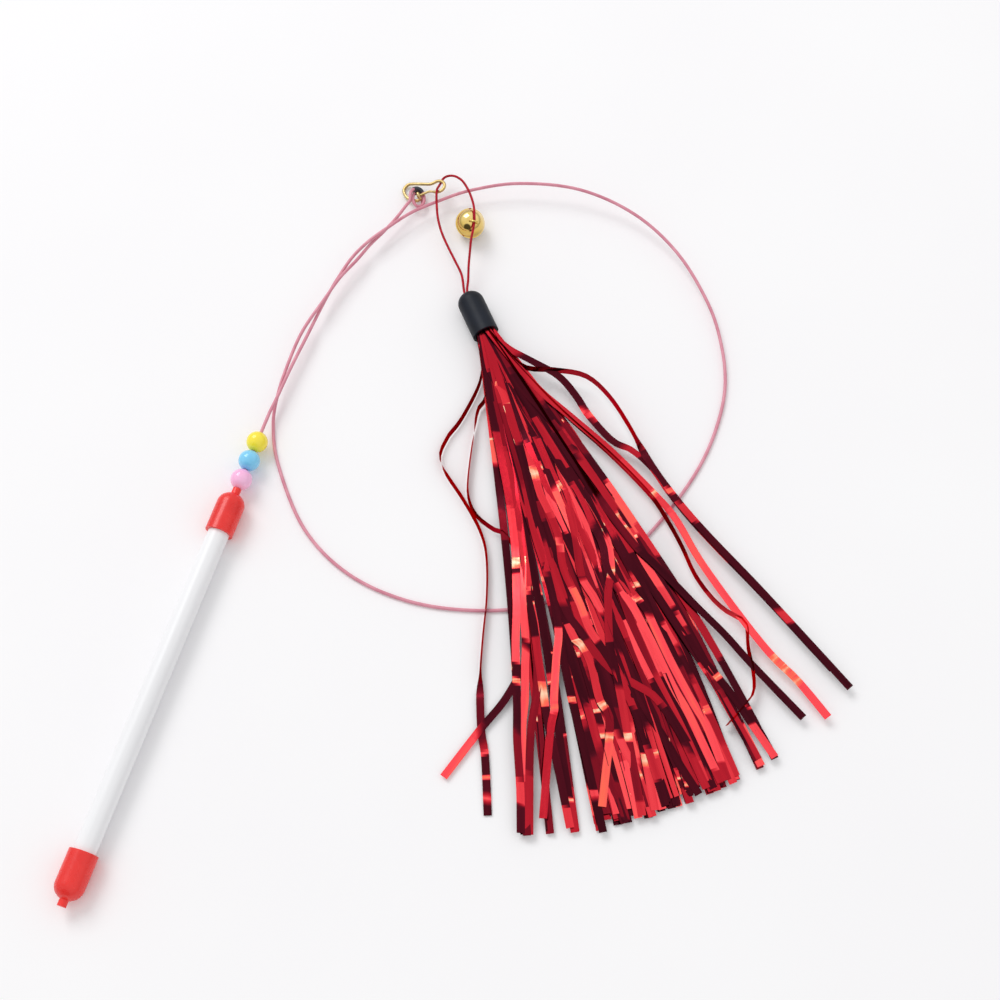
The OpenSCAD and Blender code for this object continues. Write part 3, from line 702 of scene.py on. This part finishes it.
class Foil:
    """Collects the strips that stand for one CAD node into a single mesh."""

    def __init__(self, name, seed):
        self.name = name
        self.rng = random.Random(seed)
        self.points, self.faces, self.tones, self.coords = [], [], [], []

    def strip(self, points, level, calm, slack, tones=None, turn=None):
        """A ribbon through points (x, y) of the tassel's frame.

        calm scales its rolls and twists, and slack scales its lifts. tones holds (x, tone) pairs
        of painted reflection and painted glint: each tone holds up to its x. turn holds the
        distance up to which the strip leans one way on its edge, before it leans the other way,
        and the one at which it lies down.
        """
        rng = self.rng
        tones = tones or random_painted_reflections(rng, points)
        line = Line(points)
        edges = soft_edges(rng, tones)
        roll_at = wave(rng, line.length, ROLL * calm, 14, 45)
        twist_at = wave(rng, line.length, TWIST * calm, 40, 90)
        lift_at = wave(rng, line.length, LIFT * slack, 10, 26)
        start, offset = len(self.points), rng.uniform(0, 50)
        stations = line.stations(tones, edges)
        for s in stations:
            p, d = line.at(s)
            opened = ease((s - OPEN_FROM) / OPEN_LEN)
            half = STRIP_W / 2 * mix(MOUTH_W_SHARE, 1, opened)
            twist = twist_at(s)
            roll = roll_at(s) * mix(MOUTH_ROLL_SHARE, 1, opened)
            roll += twist if abs(twist) > TWIST * calm else 0.3 * twist
            if turn is not None:
                lean = math.radians(mix(*LEANS, ease((p.x - turn[0]) / LEAN_LEN)))
                roll = mix(lean, roll * 0.5, ease((p.x - turn[1] + FALL_AHEAD) / FALL_LEN))
            side = Vector((-d.y, d.x, 0)) * math.cos(roll) + Vector((0, 0, math.sin(roll)))
            h = strip_height(level, p.x) + lift_at(s) * opened
            h = max(h, half * abs(math.sin(roll)) + LEAST_H)
            for sign, fade in FADES.items():
                q = p + sign * half * side
                self.points.append(tassel_point(q.x, q.y, h + q.z) * MM)
                tone, margin = tone_and_margin(edges[sign], p.x)
                self.tones.append(tone - margin * fade)
                self.coords.append((sign * HALF_W_CM + offset, s * CM))
        for i in range(len(stations) - 1):
            a = start + 2 * i
            self.faces.append((a, a + 1, a + 3, a + 2))

    def finish(self, replaced):
        mesh = bpy.data.meshes.new(self.name)
        mesh.from_pydata(self.points, [], self.faces)
        # The tone attribute carries the strips' painted reflections and painted glints
        tone = mesh.attributes.new("tone", "FLOAT", "POINT")
        tone.data.foreach_set("value", self.tones)
        uv = mesh.uv_layers.new(name="along").data
        for loop in mesh.loops:
            uv[loop.index].uv = self.coords[loop.vertex_index]
        mesh.polygons.foreach_set("use_smooth", [True] * len(mesh.polygons))
        mesh.materials.append(MATERIALS["tinsel_red"])
        obj = link(bpy.data.objects.new(self.name, mesh))
        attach(obj, "tassel")
        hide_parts(replaced)


# Tips outside the dense middle of the tassel gather at these sideways distances
DENSE_LEFT, DENSE_RIGHT = -43, 18
GATHERED_LEFT = (-77, -67, -57, -46)
GATHERED_RIGHT = (15, 28, 35)
GATHER_SHARE = 0.85


def gathered(y):
    """A tip's sideways distance, most of the way to the nearest group."""
    if DENSE_LEFT < y < DENSE_RIGHT:
        return y
    ends = GATHERED_LEFT if y < 0 else GATHERED_RIGHT
    return mix(y, min(ends, key=lambda end: abs(end - y)), GATHER_SHARE)


def fan_line(number, u, reach, wander, phase):
    """The CAD model's line from the mouth to a tip, less bowed and with a slight wander."""
    half = mouth_half(number + 1)
    start_y = mix(-half, half, u)
    tip_y = gathered(mix(FAN_LEFT[number - 1], FAN_RIGHT[number - 1], u))
    tip_x = math.sqrt(reach * reach - tip_y * tip_y)
    bow = mix(LEFT_BOW, FAN_BOW[number - 1], u) * BOW_SHARE
    line = [(START_X, start_y)]
    for i in range(LINE_POINTS):
        t = i / (LINE_POINTS - 1)
        y = mix(start_y, tip_y, t) + bow * math.sin(math.pi * t)
        y += wander * math.sin(math.pi * t) * math.sin(WANDER_WAVES * math.pi * t + phase)
        line.append((tip_x * t, y))
    return line


def fan_share(number, tip_y):
    """How far across a fan a tip lies, from 0 at its left to 1 at its right."""
    left, right = FAN_LEFT[number - 1], FAN_RIGHT[number - 1]
    return (tip_y - left) / (right - left)


# Strips on top of the fans, each as points from the mouth to the tip, (x, tone) pairs of painted
# reflection and painted glint, and the level that it lies at
TOP_STRIPS = [
    ([(0, -2), (18, -6), (25, -6), (32, -5), (42, -6), (59, -8), (73, -7), (87, -9), (99, -9),
      (111, -10), (125, -14), (143, -14), (155, -15), (163, -14), (178, -12), (200, -12),
      (225, -15), (240, -17)],
     [(20, 0.5), (26, DARK), (28, 0.95), (39, 0.64), (43, 1), (57, 0.52), (61, 1), (73, 0.66),
      (80, 1), (99, 0.66), (112, 0.5), (116, 0.86), (135, 0.5), (150, 0.84), (163, 0.7),
      (178, DARK), (196, 0.5), (214, DARK), (229, 0.55), (260, DARK)], 7.8),
    ([(0, -3), (39, -13), (57, -17), (79, -22), (94, -26), (110, -31), (120, -35), (135, -41),
      (148, -47), (163, -53), (178, -59), (190, -64), (210, -71), (227, -78)],
     [(50, DARK), (88, 0.48), (108, 0.66), (112, 0.8), (117, 1), (119, DARK), (158, BRIGHT),
      (164, DARK), (167, 0.96), (186, DARK), (206, 0.3), (216, 0.7), (260, 0.1)], 7.6),
    ([(0, -2), (40, -11), (75, -18), (101, -25), (118, -31), (132, -37), (150, -43), (161, -48),
      (175, -54), (184, -59), (198, -65), (209, -69), (229, -76)],
     [(60, 0.3), (86, 0.5), (112, 0.48), (116, 1), (150, BRIGHT), (153, DARK), (206, BRIGHT),
      (218, 0.5), (260, 0.2)], 7.2),
    ([(0, -2), (40, -9), (90, -22), (130, -33), (150, -38), (172, -47), (185, -55), (199, -62),
      (229, -75)],
     [(70, DARK), (110, 0.5), (134, DARK), (136, 1), (150, 0.7), (190, 0.3), (205, DEEP),
      (260, 0.48)], 7.3),
    ([(0, -1), (40, -7), (80, -15), (120, -21), (149, -27), (163, -34), (179, -42), (184, -44),
      (193, -50), (225, -67)],
     [(50, 0.48), (90, DARK), (125, 0.5), (150, DARK), (181, BRIGHT), (185, 0.9), (260, 0.5)],
     7.7),
    ([(0, -3), (40, -10), (80, -19), (120, -30), (163, -42), (174, -45), (189, -49), (205, -52),
      (233, -58)],
     [(60, 0.3), (100, 0.5), (128, 0.6), (130, 1), (150, DARK), (170, 0.5), (181, 1),
      (224, 0.08), (260, 0.68)], 7.5),
    ([(0, -2), (60, -13), (100, -19), (138, -24), (157, -29), (168, -32), (182, -35),
      (193, -37), (210, -40), (240, -46)],
     [(60, DARK), (96, 0.5), (130, DARK), (133, 1), (181, DARK), (184, 0.95), (222, 0.02),
      (226, 0.75), (260, -0.02)], 7.4),
    ([(0, -1), (40, -8), (80, -14), (110, -20), (154, -23), (162, -21), (172, -21), (187, -24),
      (195, -23), (206, -28), (218, -35), (230, -42)],
     [(40, 0.5), (80, 0.3), (120, 0.5), (150, DARK), (158, 0.7), (165, 1), (188, 0.6), (192, 1),
      (202, 0.3), (206, 1), (260, 0.84)], 7.9),
    ([(0, 0), (40, 2), (87, 6), (100, 7), (111, 7), (122, 7), (133, 4), (146, 5), (152, 7),
      (171, 8), (194, 8), (206, 9), (220, 9), (240, 9)],
     [(50, 0.3), (88, DARK), (111, 0.5), (116, DARK), (143, 0.1), (234, BRIGHT), (260, 0.5)],
     7.6),
    ([(0, 1), (50, 4), (90, 7), (113, 8), (131, 8), (145, 9), (157, 12), (165, 12), (184, 12),
      (204, 13), (216, 14), (240, 12)],
     [(60, DARK), (84, 0.5), (110, DARK), (128, 0.78), (132, 1), (150, 0.55), (153, 1),
      (160, DARK), (232, BRIGHT), (260, 0.5)], 7.5),
    ([(0, 1), (50, 6), (100, 12), (140, 15), (170, 16), (180, 17), (191, 17), (205, 17),
      (219, 17), (240, 16)],
     [(40, 0.5), (90, DARK), (120, 0.48), (166, DARK), (180, 0.74), (194, DARK), (207, 0.55),
      (211, 0.9), (225, 0.42), (260, 0.55)], 7.4),
    ([(0, 1), (32, 4), (49, 9), (70, 14), (78, 15), (95, 18), (111, 20), (121, 21), (137, 21),
      (156, 23), (171, 24), (186, 25), (198, 28), (212, 31), (220, 32), (239, 35)],
     [(24, DEEP), (58, DARK), (72, 0.32), (76, DARK), (109, 0.48), (112, 1), (116, 0.8),
      (119, 1), (126, 0.85), (150, BRIGHT), (161, 0.7), (164, DARK), (173, 0.7), (196, DARK),
      (199, 0.95), (222, 0.02), (260, 0.76)], 7.9),
    ([(0, 1), (50, 8), (100, 14), (150, 19), (195, 25), (209, 26), (223, 27), (237, 28)],
     [(60, 0.3), (100, DARK), (130, 0.48), (190, DARK), (196, 0.7), (205, DEEP), (260, 0.5)],
     7.6),
    ([(0, 0), (45, 1), (85, 0), (89, 2), (100, 0), (114, -3), (132, -8), (143, -7), (154, -7),
      (175, -8), (200, -12), (240, -22)],
     [(30, 0.48), (60, DARK), (85, 0.5), (89, 1), (114, 0.52), (132, 0.4), (133, DARK),
      (152, 0.76), (170, DARK), (186, 0.5), (216, DARK), (222, 1), (260, 0.7)], 7.7),
    ([(0, 0), (60, 5), (113, 10), (133, 6), (143, 0), (164, -9), (172, -11), (190, -15),
      (240, -28)],
     [(50, DARK), (80, 0.5), (118, DARK), (133, 0.8), (137, 1), (165, 0.42), (185, DARK),
      (205, 0.55), (209, 1), (234, 0.3), (260, 0.6)], 7.9),
    ([(0, -1), (60, -8), (100, -16), (141, -21), (155, -19), (167, -17), (178, -13), (188, -6),
      (196, -1), (214, 2), (240, 2)],
     [(60, 0.48), (110, DARK), (141, 0.48), (160, 0.1), (180, 0.4), (200, 0.45), (222, DARK),
      (260, 0.5)], 7.95),
    ([(0, 0), (60, 3), (120, 1), (160, 0), (181, 0), (199, 1), (218, 3), (241, 5)],
     [(60, 0.3), (100, DARK), (130, 0.5), (158, DARK), (188, 0.78), (196, DARK), (260, 0.06)],
     7.3),
    ([(0, -1), (70, -5), (130, -6), (170, -8), (199, -7), (214, -5), (226, -4), (241, -2)],
     [(60, DARK), (95, 0.5), (140, DARK), (170, 0.5), (200, 0.1), (228, DARK), (260, 0.06)],
     7.4),
    ([(0, -1), (60, -8), (120, -14), (170, -19), (208, -23), (219, -22), (231, -23),
      (242, -24)],
     [(60, 0.5), (100, 0.3), (140, DARK), (170, 0.5), (204, DARK), (222, 0.72), (226, 1),
      (260, 0.66)], 7.2),
    ([(0, -2), (60, -10), (120, -19), (170, -27), (208, -33), (240, -36)],
     [(70, 0.3), (130, DARK), (150, 0.5), (186, DARK), (206, 0.5), (230, DEEP), (260, 0.1)],
     7.1),
]


def make_fan(number):
    """The CAD model's eight strips, with more among them in the dense middle.

    Fan 1 is on level 2, over the left strays, and the extra strips lie between two levels.
    """
    foil = Foil(f"foil_fan_{number}", 40 + number)
    rng = foil.rng
    for i in range(STRIPS_IN_FAN):
        reach = STRIP_LEN - LENGTH_SPREAD * scatter(i, number)
        line = fan_line(number, (i + 0.5) / STRIPS_IN_FAN, reach, rng.uniform(-1, 1), i)
        foil.strip(line, number + 1, calm=0.7, slack=0.5)
    for i in range(EXTRA_IN_FAN):
        share = (i + rng.uniform(0.1, 0.9)) / EXTRA_IN_FAN
        line = fan_line(number, fan_share(number, mix(EXTRA_LEFT, EXTRA_RIGHT, share)),
                        STRIP_LEN - rng.uniform(0, LENGTH_SPREAD), rng.uniform(-6, 6),
                        rng.uniform(0, 6))
        foil.strip(line, number + 0.6 + 0.8 * i / EXTRA_IN_FAN, calm=0.5, slack=0.3)
    if number == FANS:
        for points, tones, level in TOP_STRIPS:
            route = [(START_X, points[0][1], 0)] + [(*p, 0) for p in points]
            line = [(p.x, p.y) for p in smooth(route, TOP_STEPS)]
            foil.strip(line, level, calm=0.25, slack=0.6, tones=tones)
    foil.finish(f"tinsel_fan_{number}")


# Strips that stray from the fans, as shares of the strip length, each with its pair of turns, or
# None where it lies flat from the start, and with its (x, tone) pairs of painted reflection and
# painted glint. It leans one way on its edge up to the first turn, then the other way, and lies
# flat from the second.
LEFT_STRAYS = [
    ([(0.065, -0.035), (0.1, -0.06), (0.15, -0.115), (0.178, -0.156), (0.22, -0.185),
      (0.31, -0.174), (0.377, -0.169), (0.43, -0.177), (0.505, -0.207), (0.58, -0.246),
      (0.65, -0.28), (0.735, -0.313), (0.785, -0.326), (0.882, -0.361)],
     (50, 160),
     [(40, 0.3), (150, 0.4), (185, 0.2), (188, 0.5), (190, 0.8), (198, 0.08), (200, 0.9),
      (206, 0.1), (209, 0.85), (260, 0.06)]),
    ([(0.115, -0.046), (0.143, -0.076), (0.193, -0.106), (0.267, -0.147), (0.31, -0.164),
      (0.35, -0.164), (0.387, -0.146), (0.413, -0.127), (0.5, -0.125), (0.62, -0.165),
      (0.695, -0.243), (0.737, -0.317), (0.79, -0.407)],
     (38, 140),
     [(120, 0.45), (179, 0.05), (260, BRIGHT)]),
]
RIGHT_STRAYS = [
    ([(0.06, 0.02), (0.105, 0.04), (0.13, 0.09), (0.164, 0.143), (0.22, 0.168),
      (0.293, 0.177), (0.364, 0.179), (0.436, 0.188), (0.538, 0.211), (0.706, 0.262),
      (0.923, 0.325)],
     (-20, 84),
     [(84, 0.5), (107, 0.1), (111, 0.9), (116, 0.1), (128, 0.62), (150, 0.08), (180, 0.05),
      (188, 0.62), (260, 0.03)]),
    ([(0.072, 0.02), (0.157, 0.047), (0.22, 0.076), (0.268, 0.097), (0.333, 0.124),
      (0.438, 0.159), (0.505, 0.176), (0.594, 0.181), (0.7, 0.197), (0.805, 0.219),
      (0.876, 0.244), (0.956, 0.263)],
     None,
     [(30, 0.5), (86, 0.56), (106, 0.66), (109, 1), (118, 0.7), (198, BRIGHT), (202, 0.95),
      (204, 0.86), (208, 0.97), (210, 0.87), (215, 0.95), (260, 0.78)]),
    ([(0.06, 0.012), (0.2, 0.035), (0.4, 0.06), (0.517, 0.081), (0.567, 0.099),
      (0.625, 0.119), (0.683, 0.138), (0.747, 0.161), (0.816, 0.181), (0.94, 0.222)],
     (-20, 100),
     [(130, 0.2), (260, 0.03)]),
]
HIGH_STRAYS = [
    ([(0.048, 0.023), (0.097, 0.059), (0.144, 0.094), (0.195, 0.109), (0.243, 0.115),
      (0.31, 0.134), (0.344, 0.161), (0.394, 0.18), (0.45, 0.188), (0.538, 0.208),
      (0.706, 0.26), (0.88, 0.311)],
     None,
     [(18, 0.5), (55, 0.06), (59, 0.85), (62, 0.6), (80, 0.1), (88, 0.5), (96, 0.1),
      (110, 0.56), (130, 0.1), (150, 0.5), (260, 0.05)]),
    ([(0.07, 0.02), (0.214, 0.07), (0.333, 0.118), (0.438, 0.152), (0.491, 0.16),
      (0.558, 0.163), (0.621, 0.161), (0.674, 0.17), (0.708, 0.184), (0.741, 0.205),
      (0.786, 0.189), (0.828, 0.178), (0.864, 0.161), (0.881, 0.129), (0.9, 0.09)],
     (-20, 270),
     [(110, 0.5), (140, 0.2), (160, 0.45), (182, 0.7), (200, 0.45), (270, 0.5)]),
]


def make_strays(name, seed, side, levelled):
    """One side's strays, from (level, stray) pairs. side is -1 on the left, 1 on the right."""
    foil = Foil(f"foil_{name}", seed)
    for level, (shares, turn, tones) in levelled:
        start_y = side * mouth_half(level)
        route = [(0, start_y, 0)] + [(STRIP_LEN * x, STRIP_LEN * y, 0) for x, y in shares]
        line = [(START_X, start_y)] + [(p.x, p.y) for p in smooth(route, STRAY_STEPS)]
        foil.strip(line, level, calm=0.35, slack=0.4, tones=tones, turn=turn)
    foil.finish(f"tinsel_{name}")


for number in range(1, FANS + 1):
    make_fan(number)
make_strays("left_strays", 7, -1, enumerate(LEFT_STRAYS))
make_strays("right_strays", 8, 1, [(LEVELS - 1, stray) for stray in RIGHT_STRAYS]
            + [(LEVELS - 2, stray) for stray in HIGH_STRAYS])


# Set and light

FLOOR_HALF_M = 3
FLOOR_DROP = 0.03
FLOOR_LIFT = 0.02
ROOM_LIGHT = 0.73
# What a mirror sees: a horizon that turns from grey to white between two heights, and one
# dark card whose edge is soft between two angles
HORIZON_GREY, HORIZON_FROM, HORIZON_TO = 0.45, 0.05, 0.45
CARD_TOWARDS = (-0.095, -0.946, 0.31)
CARD_GREY, CARD_INNER, CARD_OUTER = 0.08, math.radians(25), math.radians(34)
WHITE = (1, 1, 1, 1)


def make_floor():
    """A plain pale floor, a little lighter to the camera than to the object."""
    mesh = bpy.data.meshes.new("floor")
    half, z = FLOOR_HALF_M, (GROUND_Z - FLOOR_DROP) * MM
    mesh.from_pydata([(-half, -half, z), (half, -half, z), (half, half, z), (-half, half, z)],
                     [], [(0, 1, 2, 3)])
    n = Nodes("floor_pale")
    tone = n.noise(n.coordinates(), 6)
    n.colour(n.ramp(tone, [(0.3, (0.95, 0.94, 0.955, 1)), (0.7, (0.965, 0.96, 0.97, 1))]))
    seen = n.add("ShaderNodeLightPath").outputs["Is Camera Ray"]
    n.join(n.spread(seen, 0, FLOOR_LIFT), n.shader.inputs["Emission Strength"])
    n.set(Roughness=0.9, Specular_IOR_Level=0, Emission_Color=WHITE)
    mesh.materials.append(n.material)
    link(bpy.data.objects.new("floor", mesh))


def make_world():
    """White to the camera. Mirrors also show a grey horizon and one dark card."""
    world = bpy.data.worlds.new("studio")
    world.use_nodes = True
    world.node_tree.nodes.clear()
    n = Tree(world.node_tree)
    where = n.add("ShaderNodeTexCoord").outputs["Generated"]
    rays = n.add("ShaderNodeLightPath").outputs

    def background(strength):
        return n.add("ShaderNodeBackground", {"Color": WHITE, "Strength": strength})

    def choose(share, one, two):
        node = n.add("ShaderNodeMixShader")
        for socket, source in zip(node.inputs, (share, one.outputs[0], two.outputs[0])):
            n.join(source, socket)
        return node

    split = n.add("ShaderNodeSeparateXYZ")
    n.join(where, split.inputs[0])
    horizon = n.spread(split.outputs["Z"], HORIZON_GREY, 1, HORIZON_FROM, HORIZON_TO)
    towards = n.add("ShaderNodeVectorMath", {1: Vector(CARD_TOWARDS).normalized()},
                    operation="DOT_PRODUCT")
    n.join(where, towards.inputs[0])
    card = n.spread(towards.outputs["Value"], 1, CARD_GREY,
                    math.cos(CARD_OUTER), math.cos(CARD_INNER))
    mirror = background(1)
    n.join(n.combine("MINIMUM", card, horizon), mirror.inputs["Strength"])
    mirrored = n.combine("MAXIMUM", rays["Is Glossy Ray"], rays["Is Transmission Ray"])
    lit = choose(mirrored, background(ROOM_LIGHT), mirror)
    out = n.add("ShaderNodeOutputWorld")
    n.join(choose(rays["Is Camera Ray"], lit, background(1)).outputs[0], out.inputs["Surface"])
    bpy.context.scene.world = world


def make_lamp(name, at, aim, size, power):
    """A square soft light at one point that aims at another."""
    data = bpy.data.lights.new(name, "AREA")
    data.shape = "SQUARE"
    data.size = size
    data.energy = power
    lamp = link(bpy.data.objects.new(name, data))
    lamp.location = at
    lamp.rotation_euler = (Vector(aim) - Vector(at)).to_track_quat("-Z", "Y").to_euler()


make_floor()
make_world()
make_lamp("key_lamp", at=(-2.4, 2.1, 3.3), aim=(0.12, 0.17, 0), size=2.25, power=76)
bpy.context.scene.view_settings.view_transform = "Standard"
